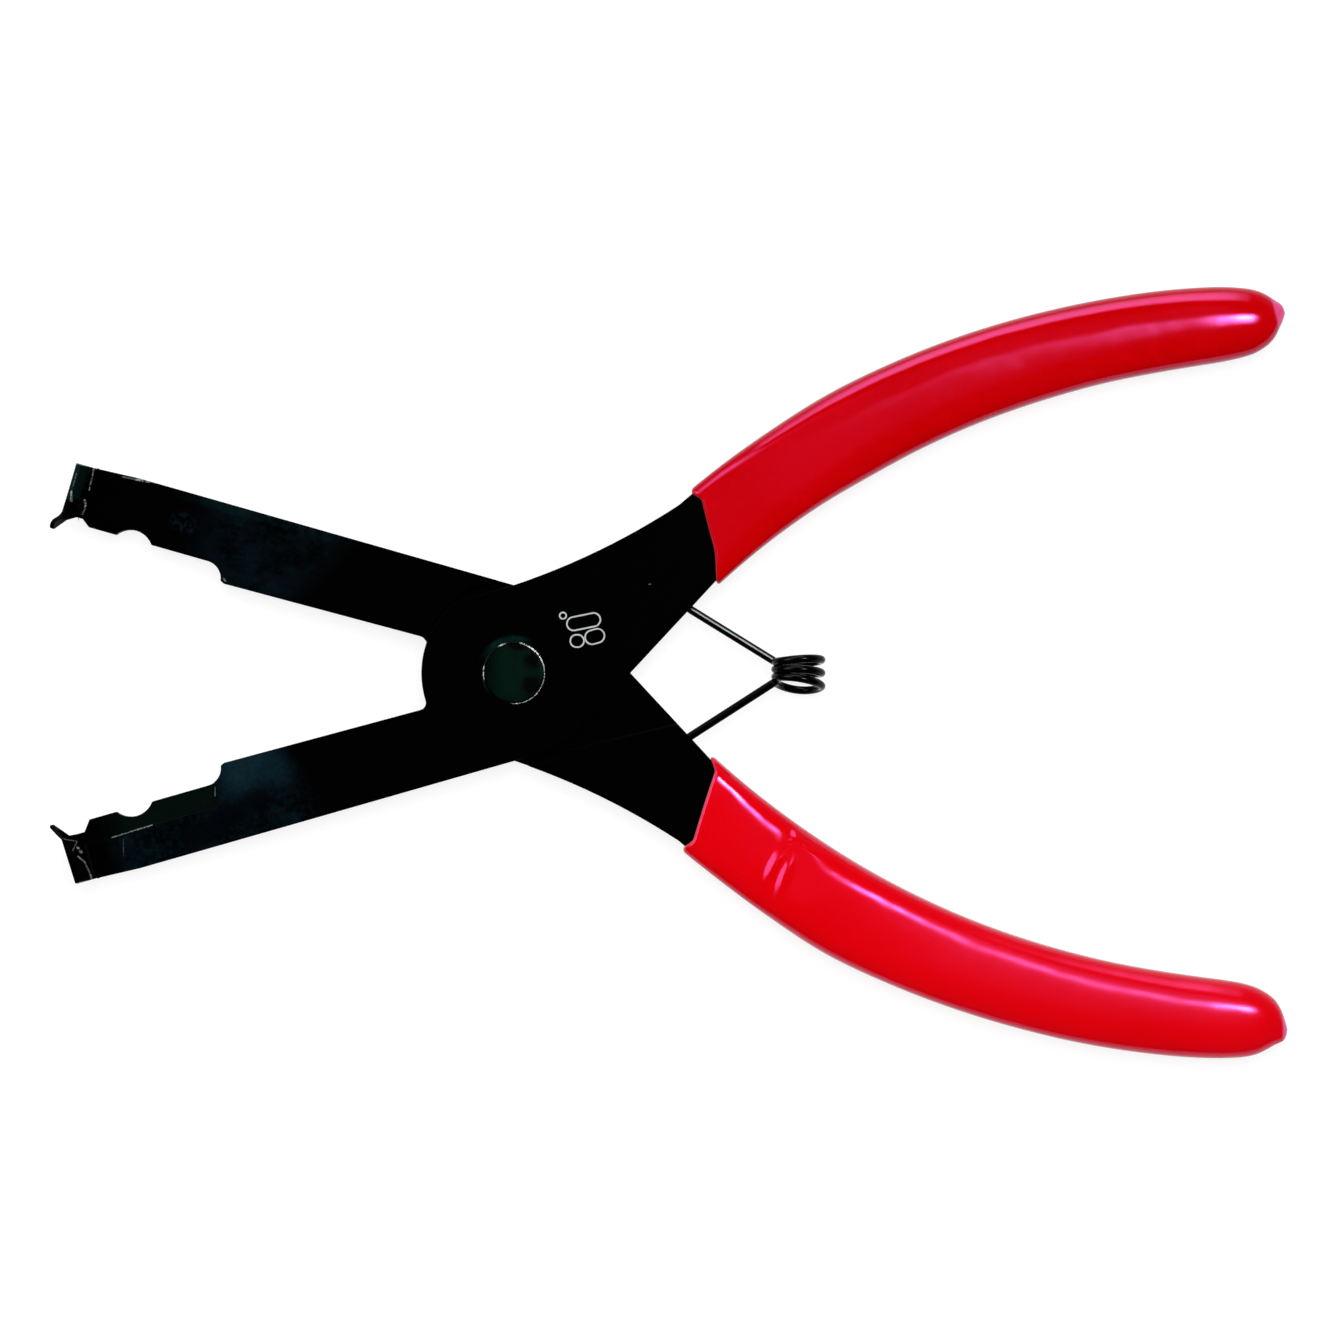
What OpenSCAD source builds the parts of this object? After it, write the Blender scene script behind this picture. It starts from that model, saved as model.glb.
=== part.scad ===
// Trim clip pliers, spring loaded, with bent prying tips and dipped grips.
// Frame: the pivot axis is the Z axis, the jaws point to -X, the handles to +X,
// and z = 0 is the rivet's back face. Lever A has the upper handle and the
// lower jaw and lies on top in the half lap; lever B is its partner below.

/* [Lever joint] */
// Thickness of the levers at the joint
plate_t = 5; // [4:0.1:7]
// How much further the joint disc between the jaw roots reaches than the jaws' outer edges
disc_lead = 1.45; // [1:0.05:4]
// Air between a disc and the curved shoulder that faces it
shoulder_gap = 0.3; // [0.2:0.05:0.6]
// Air between the two lap faces
lap_gap = 0.1; // [0.04:0.02:0.3]
// Full travel of the joint from the pose drawn to jaws closed, in degrees
close_angle = 34; // [30:0.5:34]

/* [Jaws] */
// Angle between the upper jaw and the centre line in the pose drawn
upper_jaw_angle = 15.9; // [15.4:0.1:17]
// Angle between the lower jaw and the centre line in the pose drawn
lower_jaw_angle = 16; // [15.4:0.1:17]
// Distance from the pivot axis to the outer edge of a jaw
jaw_out = 15.35; // [14.8:0.05:15.8]
// Distance from the pivot axis to the inner edge of a jaw at its root
jaw_in = 1.75; // [1.4:0.05:3]
// Distance from the pivot axis to the inner edge of a jaw at the step
step_in = 1.15; // [1.1:0.05:2]
// Radius of the rounded corner at the root of a jaw
root_r = 1.3; // [0.6:0.1:2]
// Distance from the pivot axis to the step in the inner edge
step_x = 55.75; // [45:0.05:60]
// Radius of the cove that ends the step
step_r = 3.25; // [2.6:0.05:4]
// Distance of the inner edge past the step from the pivot axis
land_y = 4.3; // [4:0.1:6]
// Place of the round notch along the jaw
notch_x = 73.05; // [69:0.1:75]
// Radius of the round notch
notch_r = 4.2; // [3:0.1:5]
// Depth of the round notch
notch_depth = 1.75; // [1:0.05:2.5]
// Place along the jaw where it starts to get thinner
taper_x = 44; // [30:1:50]
// Thickness of the jaw at the bend
tip_t = 2.8; // [2.2:0.1:3.6]

/* [Bent tips] */
// Place of the bend along the jaw
bend_x = 83.8; // [82:0.1:90]
// Bend of the tip out of the jaw, in degrees
bend_angle = 80; // [70:1:90]
// Inner radius of the bend
bend_r = 0.8; // [0.4:0.1:2]
// Distance of the inner end of the bend from the pivot axis, upper jaw
upper_tab_in = 5.4; // [5.5:0.1:8]
// Distance of the inner end of the bend from the pivot axis, lower jaw
lower_tab_in = 6.2; // [5.5:0.1:8]
// How much the outer edge draws in towards the tip
nip = 0.4; // [0:0.05:1]
// Height of the upper tip at its outer corner
upper_tab_h = 7.5; // [6.5:0.1:11]
// Height of the lower tip at its outer corner
lower_tab_h = 8.7; // [6.5:0.1:11]
// Height of the hooked horn
horn_h = 13.6; // [12.5:0.1:16]
// Distance of the end of the horn from the jaw's own axis
horn_y = 2.4; // [2.2:0.1:4]
// Thickness at the top of the tip
tab_edge_t = 0.85; // [0.5:0.05:1.5]
// Width of the ground strip at the inner side of the tip and the lower jaw
ground_w = 4.2; // [2:0.1:6]
// Depth of the ground strip at the inner edge of the lower jaw
ground_depth = 0.7; // [0.3:0.1:1]

/* [Handles] */
// Distance from the pivot axis to the inner edge of a handle
neck_in = 15.45; // [15:0.05:16]
// Direction of the inner edge of a handle, in degrees
neck_angle = 47.1; // [45:0.1:48]
// Hollow of the outer edge between the joint and the grip
neck_sag = 1.05; // [0.5:0.05:2]

/* [Grips] */
// Place of the front edge of a grip along X
grip_x = 34.6; // [32:0.1:38]
// Place of the front edge of a grip along Y
grip_y = 24.9; // [24:0.1:26]
// Direction of a grip at its front edge, in degrees
grip_angle = 40.5; // [38:0.1:43]
// Radius of the curve that a grip follows
grip_bend_r = 161.8; // [140:1:200]
// Length of a grip along its curve
grip_len = 114.8; // [95:0.1:135]
// Greatest width of a grip
grip_w = 17; // [15.6:0.1:19]
// Width of a grip where its round end starts
grip_end_w = 13.3; // [12:0.1:16]
// Thickness of a grip over both flats
grip_t = 10; // [8.5:0.1:12]
// Thickness of the dipped coat over the edges of the tang
coat_t = 1.1; // [0.8:0.1:2.2]
// How much further forward the front edge of a grip starts at its outer end
grip_slant = 3.75; // [0:0.05:5]
// Curl of the front edge towards the joint at its inner end
grip_curl = 0.85; // [0:0.05:1.5]
// Length of grip over which the slant of the front edge dies out
slant_run = 22; // [15:1:30]
// Length of the rounded lip at the front edge
lip_len = 0.8; // [0.4:0.1:1.5]
// Length of the rounded end of a grip
grip_dome = 9.3; // [6:0.1:12]
// How much further the lower grip reaches towards the joint
lower_grip_lead = 1.2; // [0:0.1:3]
// Diameter of the drip left at the end by dipping
drip_d = 3.4; // [2:0.1:6]
// Place of the drip out from the middle of the grip
drip_out = 1.1; // [0:0.1:2]
// Length of the drip
drip_len = 0.5; // [0.3:0.1:3]

/* [Rivet] */
// Diameter of the rivet's shank
shank_d = 8; // [6:0.1:9]
// Diameter of the flush ends of the rivet
head_d = 11.4; // [10:0.1:13]
// Depth of the countersunk ends
head_depth = 1.3; // [0.8:0.1:1.8]
// How far the ends stand proud of the levers
rivet_proud = 0.12; // [0.05:0.01:0.5]
// Clearance round the rivet, on the radius
rivet_fit = 0.05; // [0.02:0.01:0.1]

/* [Spring] */
// Diameter of the spring wire
wire_d = 1.3; // [1:0.05:1.6]
// Place along X of the hole that holds the end of a spring leg
seat_x = 30.3; // [29.5:0.1:31]
// Place along Y of the hole that holds the end of a spring leg
seat_y = 12.6; // [12.4:0.1:13]
// Place along X of the bend from a leg into the coil
coil_x = 47.7; // [46:0.1:52]
// Half the distance between the two ends of the coil
coil_half = 2.05; // [2.05:0.05:3]
// Radius of the coil, to the middle of its wire
coil_r = 4.15; // [3:0.05:6]
// Number of turns
turns = 3; // [2:1:3]
// Spread of the turns at the side away from the legs
coil_fan = 0.75; // [0.5:0.05:1]
// Lean of the first turn out of its plane, over the radius of the coil
lean_first = 0.25; // [0:0.05:0.6]
// Lean of the last turn out of its plane, over the radius of the coil
lean_last = 0.95; // [0.3:0.05:1.2]
// Air round the wire in the slot of its seat
slot_gap = 0.18; // [0.15:0.01:0.3]
// Clearance of the hooked leg end in the hole of lever A, on the radius
hook_fit = 0.06; // [0.03:0.01:0.1]
// Clearance of the hooked leg end in the hole of lever B, on the radius
hook_play = 0.3; // [0.25:0.05:0.4]
// Length of the hooked end below the middle of the wire
hook_len = 1.8; // [1.4:0.1:1.9]

/* [Hidden] */

$fn = 48;
big = 400;
back_z = rivet_proud;
mid_z = back_z + plate_t / 2;
wire_r = wire_d / 2;
// The balls at both ends of a leg stand just proud of the wire
ball_r = wire_r + 0.012;
// The pliers open this much past the pose drawn
open_angle = 4;
// Turn of a spring leg against its lever for each degree of the joint
leg_ratio = 1.331;

// Levers: places worked out from the sizes above
disc_r = jaw_out + disc_lead;
jaw_top = mid_z + tip_t / 2;
jaw_bottom = mid_z - tip_t / 2;
// Length along the jaw over which it gets thinner
taper_end = bend_x - 4;
taper_tilt = atan(((plate_t - tip_t) / 2) / (taper_end - taper_x));
// Where the outer edge starts to draw in
nip_x = notch_x + 2;
// Distance from the bend line to where the bend starts
bend_back = bend_r * tan(bend_angle / 2);
bend_axis_x = bend_x - bend_back;
// The bent tip starts on the flat of the jaw, a little before the bend, and is
// a hair narrower than the jaw there, so that no two side faces nearly coincide
lever_end = bend_axis_x - 0.2;
tip_start = bend_axis_x - 0.4;
side_step = 0.03;
land_end = bend_x - 2.3;
cove_x = step_x + step_r;
cove_y = land_y - step_r;
notch_y = land_y + notch_depth - notch_r;
notch_reach = acos((land_y - notch_y) / notch_r);

// A point of a jaw at angle ja, given along the jaw and outward from the axis
function jaw_pt(ja, x, y) = [
    -x * cos(ja) + y * sin(ja),
    -x * sin(ja) - y * cos(ja)
];
function polar(r, a) = [r * cos(a), r * sin(a)];
function arc(c, r, a0, a1, n) = [for (i = [0:n]) c + polar(r, a0 + (a1 - a0) * i / n)];
function jaw_arc(ja, c, r, a0, a1, n) = [for (p = arc(c, r, a0, a1, n)) jaw_pt(ja, p[0], p[1])];

// Grip: the curve along its middle, and its width and place across
grip_c = [grip_x, grip_y] + grip_bend_r * [sin(grip_angle), -cos(grip_angle)];
function grip_heading(s) = grip_angle + 90 - s / grip_bend_r * 180 / PI;
function grip_pt(s, across) = grip_c + polar(grip_bend_r + across, grip_heading(s));
// Widest at a quarter of the length, narrowest at the round end
wide_at = 0.2;
function grip_width(s) = grip_w
    - (grip_w - grip_end_w) * pow((s / grip_len - wide_at) / (1 - wide_at), 2);
// An edge point lies this much further along the grip than the middle does
function edge_shift(s, share) =
    grip_slant * share * max(0, 1 - s / slant_run)
    - grip_curl * pow(min(0, share), 2) * max(0, 1 - 3 * s / slant_run);
function grip_side(s, across) =
    grip_pt(s + edge_shift(s, 2 * across / grip_w), across);

// Tang: the steel inside a grip
tang_len = grip_len - grip_dome;
tang_steps = 24;
function tang_half(s) = grip_width(s) / 2 - coat_t;
// Where the straight inner edge of the neck has reached the coat thickness
neck_run = 8;

neck_foot = polar(neck_in, neck_angle - 90);
// Point on the inner edge of the neck, at a distance from the foot on the disc
function neck_pt(d) = neck_foot + polar(d, neck_angle);
tang_first = grip_pt(neck_run, -tang_half(neck_run));
// Distance along the neck's inner edge at which the tang begins
neck_len = (tang_first - neck_foot) * polar(1, neck_angle);

// Radius at which a lever's neck meets the outer edge of the other lever's jaw
crossing_r = jaw_out + 0.65;
function lap_notch(other) = polar(crossing_r, 90 + other - acos(jaw_out / crossing_r));
flat_half = acos(jaw_out / disc_r);
neck_top = grip_pt(0, tang_half(0));
function sagged(p, q, sag, t) = p + t * (q - p)
    + 4 * sag * t * (1 - t) * [(q - p)[1], -(q - p)[0]] / norm(q - p);

root_c = [sqrt(pow(disc_r + root_r, 2) - pow(jaw_in - root_r, 2)), jaw_in - root_r];
root_a = atan2(root_c[1], root_c[0]);
// The cove of the step starts where it has left the inner edge
cove_start = 180 - asin((step_in - cove_y) / step_r) - 6;

// Outline of a lever with its handle up, counter-clockwise from the bend:
// ja is its own jaw's angle, other the angle of the jaw that it crosses
function lever_outline(ja, other, tab_in) = concat(
    [jaw_pt(ja, lever_end, jaw_out - nip), jaw_pt(ja, nip_x, jaw_out)],
    [for (i = [0:8]) polar(
        jaw_out + (neck_in - jaw_out) * i / 8,
        ja - 90 + (neck_angle - ja) * i / 8
    )],
    [neck_pt(neck_len)],
    [for (i = [1:tang_steps]) let (s = neck_run + (tang_len - 3 - neck_run) * i / tang_steps)
        grip_pt(s, -tang_half(s))],
    [grip_pt(tang_len, -tang_half(tang_len) + 3)],
    [grip_pt(tang_len, tang_half(tang_len) - 3)],
    [for (i = [tang_steps:-1:1]) let (s = (tang_len - 3) * i / tang_steps)
        grip_pt(s, tang_half(s))],
    [for (i = [12:-1:1]) sagged(lap_notch(other), neck_top, neck_sag, i / 12)],
    [lap_notch(other)],
    arc([0, 0], disc_r, 90 + other + flat_half, 180 + ja - root_a, 12),
    jaw_arc(ja, root_c, root_r, 180 + root_a, 90, 6),
    [jaw_pt(ja, step_x - 0.7, step_in)],
    jaw_arc(ja, [cove_x, cove_y], step_r, cove_start, 90, 8),
    jaw_arc(ja, [notch_x, notch_y], notch_r, 90 + notch_reach, 90 - notch_reach, 10),
    [jaw_pt(ja, land_end, land_y), jaw_pt(ja, lever_end, tab_in)]
);

// The part of lever A's plan that lever B crosses, from open to closed
module lap_area() {
    edge_a = close_angle + 90 - neck_angle;
    edge_d = neck_in + shoulder_gap;
    far = polar(edge_d, edge_a) + polar(big / 4, edge_a - 90);
    near = polar(edge_d, edge_a) - polar(edge_d * cos(edge_a) / cos(edge_a - 90), edge_a - 90);
    circle(r = disc_r + shoulder_gap, $fn = 96);
    polygon([[0, -big], [far[0], -big], far, near]);
}

// The rivet, or, with a fit, the hole that it needs through both levers
module rivet_shape(fit) {
    head_r = head_d / 2 + fit;
    shank_r = shank_d / 2 + fit;
    cylinder(h = plate_t + 2 * rivet_proud, r = shank_r);
    for (side = [-1, 1]) {
        translate([0, 0, mid_z + side * plate_t / 2])
            rotate([90 + 90 * side, 0, 0]) {
                cylinder(h = head_depth, r1 = head_r, r2 = shank_r);
                translate([0, 0, -rivet_proud])
                    cylinder(h = rivet_proud, r = head_r);
            }
    }
}

// Places things along a jaw at angle ja: x to the tip, y outward, z up
module on_jaw(ja) {
    rotate([0, 0, 180 + ja])
        children();
}

// Places things on the bent tip: x across the jaw, y up the tip, z to its back
module on_tab(ja) {
    on_jaw(ja)
        translate([bend_x, 0, jaw_top])
            rotate([0, 90 - bend_angle, 0])
                rotate([90, 0, 90])
                    children();
}

// Wedges that thin the jaw on its two faces towards the bend
module jaw_tapers(ja) {
    before = 10;
    on_jaw(ja) {
        for (side = [-1, 1]) {
            translate([taper_x, -10, mid_z + side * plate_t / 2])
                rotate([0, side * taper_tilt, 0])
                    translate([-before, 0, side > 0 ? 0 : -8])
                        cube([80 + before, 40, 8]);
        }
    }
}

// Slab that leaves the thin end of the jaw with even thickness
module jaw_end_slab(ja) {
    on_jaw(ja)
        translate([taper_x + 10, -10, jaw_bottom])
            cube([60, 40, tip_t]);
}

// Outline of the bent tip: across the jaw and up the tip, with its hooked horn;
// thin is 0 for the blunt horn and 1 for the sharp one, which leans further out
function tab_outline(tab_in, tab_h, thin) =
    let (
        out = jaw_out - nip - side_step,
        hy = horn_y + 0.9 * thin,
        hh = horn_h + 1.1 * thin
    )
    [
        [tab_in + side_step, -plate_t],
        [out, -plate_t],
        [out, bend_back],
        [out - 0.2, tab_h],
        [tab_in + 0.3, tab_h + 0.8],
        [tab_in - 0.5 + 0.2 * thin, tab_h + 2.2],
        [hy + 1.6 - 0.5 * thin, hh - 0.9],
        [hy + 1.1 - 0.4 * thin, hh - 0.2],
        [hy + 0.5 - 0.1 * thin, hh],
        [hy + 0.1 * thin, hh - 0.4],
        [hy - 0.1 + 0.4 * thin, hh - 1.1],
        [tab_in - 0.95 + 0.85 * thin, 6.4],
        [tab_in + side_step, bend_back]
    ];

// A point of the tip seen from its side: h up the tip, t into its thickness
function tip_pt(h, t) = [
    bend_x + h * cos(bend_angle) + t * sin(bend_angle),
    jaw_top + h * sin(bend_angle) - t * cos(bend_angle)
];

// Side view of the flat, the bend and the tip, which gets thinner to its top
function tip_profile(tab_h) = concat(
    [[tip_start, jaw_bottom]],
    arc([bend_axis_x, jaw_top + bend_r], bend_r + tip_t, -90, bend_angle - 90, 12),
    [
        tip_pt(bend_back + 0.6, tip_t),
        tip_pt(tab_h, tab_edge_t),
        tip_pt(horn_h + 3, tab_edge_t * 0.85),
        tip_pt(horn_h + 3, 0)
    ],
    arc([bend_axis_x, jaw_top + bend_r], bend_r, bend_angle - 90, -90, 12),
    [[tip_start, jaw_top]]
);

// The bend and the bent tip; thin is 0 for the blunt horn and 1 for the sharp one
module tab_piece(ja, tab_in, tab_h, thin) {
    difference() {
        intersection() {
            on_jaw(ja)
                translate([0, 2 * jaw_out, 0])
                    rotate([90, 0, 0])
                        linear_extrude(height = 2 * jaw_out)
                            polygon(tip_profile(tab_h));
            on_tab(ja)
                translate([0, 0, -2])
                    linear_extrude(height = tip_t + 3)
                        polygon(tab_outline(tab_in, tab_h, thin));
        }
        // Ground strip on the inner side of the face
        on_tab(ja)
            translate([land_y + ground_w, 0, 0])
                rotate([0, -4, 0])
                    translate([-20, -1, -5])
                        cube([20, 30, 5]);
    }
}

// The strip ground along the inner edge of the lower jaw
module ground_strip() {
    on_jaw(lower_jaw_angle)
        translate([step_x + 2, land_y + ground_w, jaw_top - 0.02])
            rotate([atan(ground_depth / ground_w), 0, 0])
                translate([0, -10, 0])
                    cube([bend_axis_x - step_x - 2, 10, 4]);
}

// Fan-shaped slot and hole that hold the hooked end of a spring leg
module spring_seat(fit) {
    rest = atan2(coil_half - seat_y, coil_x - seat_x);
    low = rest - leg_ratio * open_angle - 3;
    high = rest + leg_ratio * close_angle + 3;
    r = wire_r + slot_gap;
    seat = [seat_x, seat_y];
    translate([0, 0, mid_z - r]) {
        linear_extrude(height = 2 * r)
            polygon([
                seat + polar(r, low - 90),
                seat + polar(r, low - 90) + polar(9, low),
                seat + polar(16, (low + high) / 2),
                seat + polar(r, high + 90) + polar(9, high),
                seat + polar(r, high + 90)
            ]);
        translate([seat_x, seat_y, 0])
            cylinder(h = 2 * r, r = max(r, wire_r + fit) + 0.03);
    }
    translate([seat_x, seat_y, mid_z - hook_len - 0.2])
        cylinder(h = hook_len, r = wire_r + fit);
}

module lever_plate(ja, other, tab_in) {
    translate([0, 0, back_z])
        linear_extrude(height = plate_t)
            polygon(lever_outline(ja, other, tab_in));
}

// Steel of one lever with its handle up, before the lap is cut
module lever_steel(ja, other, tab_in, tab_h, thin) {
    difference() {
        lever_plate(ja, other, tab_in);
        difference() {
            jaw_tapers(ja);
            jaw_end_slab(ja);
        }
    }
    tab_piece(ja, tab_in, tab_h, thin);
}

module lower_jaw_lever() {
    color([0.07, 0.07, 0.08])
        difference() {
            lever_steel(lower_jaw_angle, upper_jaw_angle, lower_tab_in, lower_tab_h, 1);
            // Lever A keeps the upper half of the lap
            translate([0, 0, -1])
                linear_extrude(height = 1 + mid_z + lap_gap / 2)
                    lap_area();
            rivet_shape(rivet_fit);
            spring_seat(hook_fit);
            ground_strip();
        }
}

module upper_jaw_lever() {
    color([0.09, 0.09, 0.1])
        difference() {
            mirror([0, 1, 0])
                lever_steel(upper_jaw_angle, lower_jaw_angle, upper_tab_in, upper_tab_h, 0);
            // Lever B keeps the lower half of the lap
            translate([0, 0, mid_z - lap_gap / 2])
                linear_extrude(height = 1 + mid_z)
                    mirror([0, 1, 0])
                        lap_area();
            rivet_shape(rivet_fit);
            mirror([0, 1, 0])
                spring_seat(hook_play);
        }
}

module pivot_rivet() {
    color([0.16, 0.24, 0.23])
        rivet_shape(0);
}

// Rings of the grip: place along it, and its size there as a share of full
lip = [[0, 0.93], [0.3, 0.975], [1, 1]];
body_rings = 30;
dome_rings = 7;
function ring_list(lead) = concat(
    [for (r = lip) [r[0] * lip_len - lead, r[1]]],
    [for (i = [1:body_rings]) let (t = i / body_rings)
        [(1 - t) * (lip_len - lead) + t * (grip_len - grip_dome), 1]],
    [for (i = [1:dome_rings - 1]) let (a = 90 * i / dome_rings)
        [grip_len - grip_dome + grip_dome * sin(a), cos(a)]]
);
ring_points = 28;
// A section is boxy near the front and round towards the end
function ring_power(s) = 2 / (3.4 - 1.2 * s / grip_len);
function signed_pow(v, p) = sign(v) * pow(abs(v), p);
function ring(s, share) = [
    for (j = [0:ring_points - 1])
        let (
            a = 360 * j / ring_points,
            w = grip_width(s) / 2 * share,
            h = grip_t / 2 * (1 - 0.1 * s / grip_len) * share,
            across = w * signed_pow(cos(a), ring_power(s)),
            up = h * signed_pow(sin(a), ring_power(s)),
            p = grip_side(s, across)
        )
        [p[0], p[1], mid_z + up]
];

module grip_skin(lead) {
    rings = [for (r = ring_list(lead)) ring(r[0], r[1])];
    count = len(rings);
    tip = grip_pt(grip_len, 0);
    points = concat([for (r = rings) for (p = r) p], [[tip[0], tip[1], mid_z]]);
    last = count * ring_points;
    sides = [
        for (k = [0:count - 2])
            for (j = [0:ring_points - 1])
                let (n = (j + 1) % ring_points)
                [
                    k * ring_points + j, k * ring_points + n,
                    (k + 1) * ring_points + n, (k + 1) * ring_points + j
                ]
    ];
    front = [[for (j = [ring_points - 1:-1:0]) j]];
    dome = [
        for (j = [0:ring_points - 1])
            [(count - 1) * ring_points + j, (count - 1) * ring_points + (j + 1) % ring_points, last]
    ];
    polyhedron(points = points, faces = concat(front, sides, dome), convexity = 6);
}

// A dipped grip on a handle that points up, with the pocket that its tang fills
module grip(ja, other, tab_in, lead) {
    end = grip_pt(grip_len - 1, drip_out);
    difference() {
        union() {
            grip_skin(lead);
            translate([end[0], end[1], mid_z])
                rotate([0, 90, grip_heading(grip_len) - 90])
                    cylinder(h = 1 + drip_len, r1 = drip_d / 2, r2 = drip_d / 4, $fn = 24);
        }
        lever_plate(ja, other, tab_in);
    }
}

module upper_grip() {
    color([0.83, 0.05, 0.1])
        grip(lower_jaw_angle, upper_jaw_angle, lower_tab_in, 0);
}

module lower_grip() {
    color([0.83, 0.05, 0.1])
        mirror([0, 1, 0])
            grip(upper_jaw_angle, lower_jaw_angle, upper_tab_in, lower_grip_lead);
}

// Straight leg of the spring with its hooked end
module spring_leg() {
    run = norm([coil_x - seat_x, coil_half - seat_y]);
    translate([seat_x, seat_y, mid_z]) {
        rotate([0, 90, atan2(coil_half - seat_y, coil_x - seat_x)])
            cylinder(h = run, r = wire_r, $fn = 32);
        sphere(r = ball_r, $fn = 32);
        translate([0, 0, -hook_len])
            cylinder(h = hook_len, r = wire_r, $fn = 32);
    }
    translate([coil_x, coil_half, mid_z])
        sphere(r = ball_r, $fn = 32);
}

module upper_spring_leg() {
    color([0.1, 0.1, 0.11])
        spring_leg();
}

module lower_spring_leg() {
    color([0.1, 0.1, 0.11])
        mirror([0, 1, 0])
            spring_leg();
}

// Middle of the coil's wire after an angle of winding from the upper leg
function coil_pt(a) =
    let (
        x = -coil_r * cos(a),
        done = a / (360 * turns),
        spread = 1 + coil_fan * (x + coil_r) / (2 * coil_r),
        lean = (lean_first + (lean_last - lean_first) * done) * sin(a)
    )
    [coil_x + coil_r + x, coil_half * (1 - 2 * done) * spread + lean, mid_z + coil_r * sin(a)];

module spring_coil() {
    sides = 10;
    steps = 24 * turns;
    // The coil starts just clear of the ball ends of the legs
    skip = asin((wire_r + 0.35) / coil_r);
    span = 360 * turns - 2 * skip;
    rings = [
        for (i = [0:steps])
            let (
                a = skip + span * i / steps,
                p = coil_pt(a),
                q = coil_pt(a + 1) - coil_pt(a - 1),
                t = q / norm(q),
                u = cross([0, 1, 0], t) / norm(cross([0, 1, 0], t)),
                v = cross(t, u)
            )
            [for (j = [0:sides - 1]) p + wire_r * (cos(360 * j / sides) * u + sin(360 * j / sides) * v)]
    ];
    faces = concat(
        [[for (j = [sides - 1:-1:0]) j]],
        [
            for (k = [0:steps - 1])
                for (j = [0:sides - 1])
                    let (n = (j + 1) % sides)
                    [k * sides + j, k * sides + n, (k + 1) * sides + n, (k + 1) * sides + j]
        ],
        [[for (j = [0:sides - 1]) steps * sides + j]]
    );
    color([0.1, 0.1, 0.11])
        polyhedron(points = [for (r = rings) for (p = r) p], faces = faces, convexity = 10);
}

lower_jaw_lever();
upper_jaw_lever();
pivot_rivet();
upper_grip();
lower_grip();
upper_spring_leg();
lower_spring_leg();
spring_coil();
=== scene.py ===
import math

import bmesh
import bpy
import numpy as np
from mathutils import Matrix, Vector


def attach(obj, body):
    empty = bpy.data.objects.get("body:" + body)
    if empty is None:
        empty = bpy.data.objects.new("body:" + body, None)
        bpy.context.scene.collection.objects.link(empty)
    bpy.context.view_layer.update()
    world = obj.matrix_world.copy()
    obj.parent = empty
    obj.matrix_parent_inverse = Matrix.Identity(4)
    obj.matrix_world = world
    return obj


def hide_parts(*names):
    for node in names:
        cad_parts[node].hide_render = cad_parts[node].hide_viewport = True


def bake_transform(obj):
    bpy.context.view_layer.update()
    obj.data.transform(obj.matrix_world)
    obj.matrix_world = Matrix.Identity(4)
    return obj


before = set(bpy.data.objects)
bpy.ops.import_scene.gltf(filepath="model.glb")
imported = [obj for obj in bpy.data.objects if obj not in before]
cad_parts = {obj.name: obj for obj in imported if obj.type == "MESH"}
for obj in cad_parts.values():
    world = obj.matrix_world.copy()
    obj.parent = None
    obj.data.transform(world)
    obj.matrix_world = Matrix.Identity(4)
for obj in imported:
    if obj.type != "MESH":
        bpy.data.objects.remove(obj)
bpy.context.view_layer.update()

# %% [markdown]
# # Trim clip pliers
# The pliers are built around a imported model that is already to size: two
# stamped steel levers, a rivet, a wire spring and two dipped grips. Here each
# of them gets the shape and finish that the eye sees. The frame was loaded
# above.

MM = 0.001
plate_mid = 2.62
plate_top = 5.12


# %% [markdown]
# ## The camera
# The picture is a straight top view. A long lens from one metre up keeps the
# view almost parallel, so both handles and both jaws are seen without
# leaning. A short lens close by would show the sides of the bent tips.

# %% Camera one metre above the plate
def placed(name, data):
    """New object with this mesh, lamp or lens, put into the scene."""
    made = bpy.data.objects.new(name, data)
    bpy.context.scene.collection.objects.link(made)
    return made


lens = bpy.data.cameras.new("top_lens")
lens.lens = 147.8
lens.sensor_width = 36.0
lens.clip_start = 0.02
camera = placed("top_camera", lens)
camera.location = (0.0283, 0.00055, 1.0025)
bpy.context.scene.camera = camera
print("camera", tuple(camera.location), "lens", lens.lens)

# %% [markdown]
# ## Surfaces as grids
# Grips, spring and rivet are all rings of points, one after the other. A grid
# of rings by points around becomes a closed skin when neighbouring rings are
# joined by four-sided faces and each end is closed to a single point. The
# other way, adding and editing shapes by hand, would hide the numbers.

# %% A closed skin from a grid of rings
def signed_volume(points, faces):
    """Sum over triangles of a . (b x c) / 6, positive when faces point out."""
    a, b, c = (points[faces[:, k]] for k in range(3))
    return float(np.einsum("ij,ij->i", a, np.cross(b, c)).sum() / 6)


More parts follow.
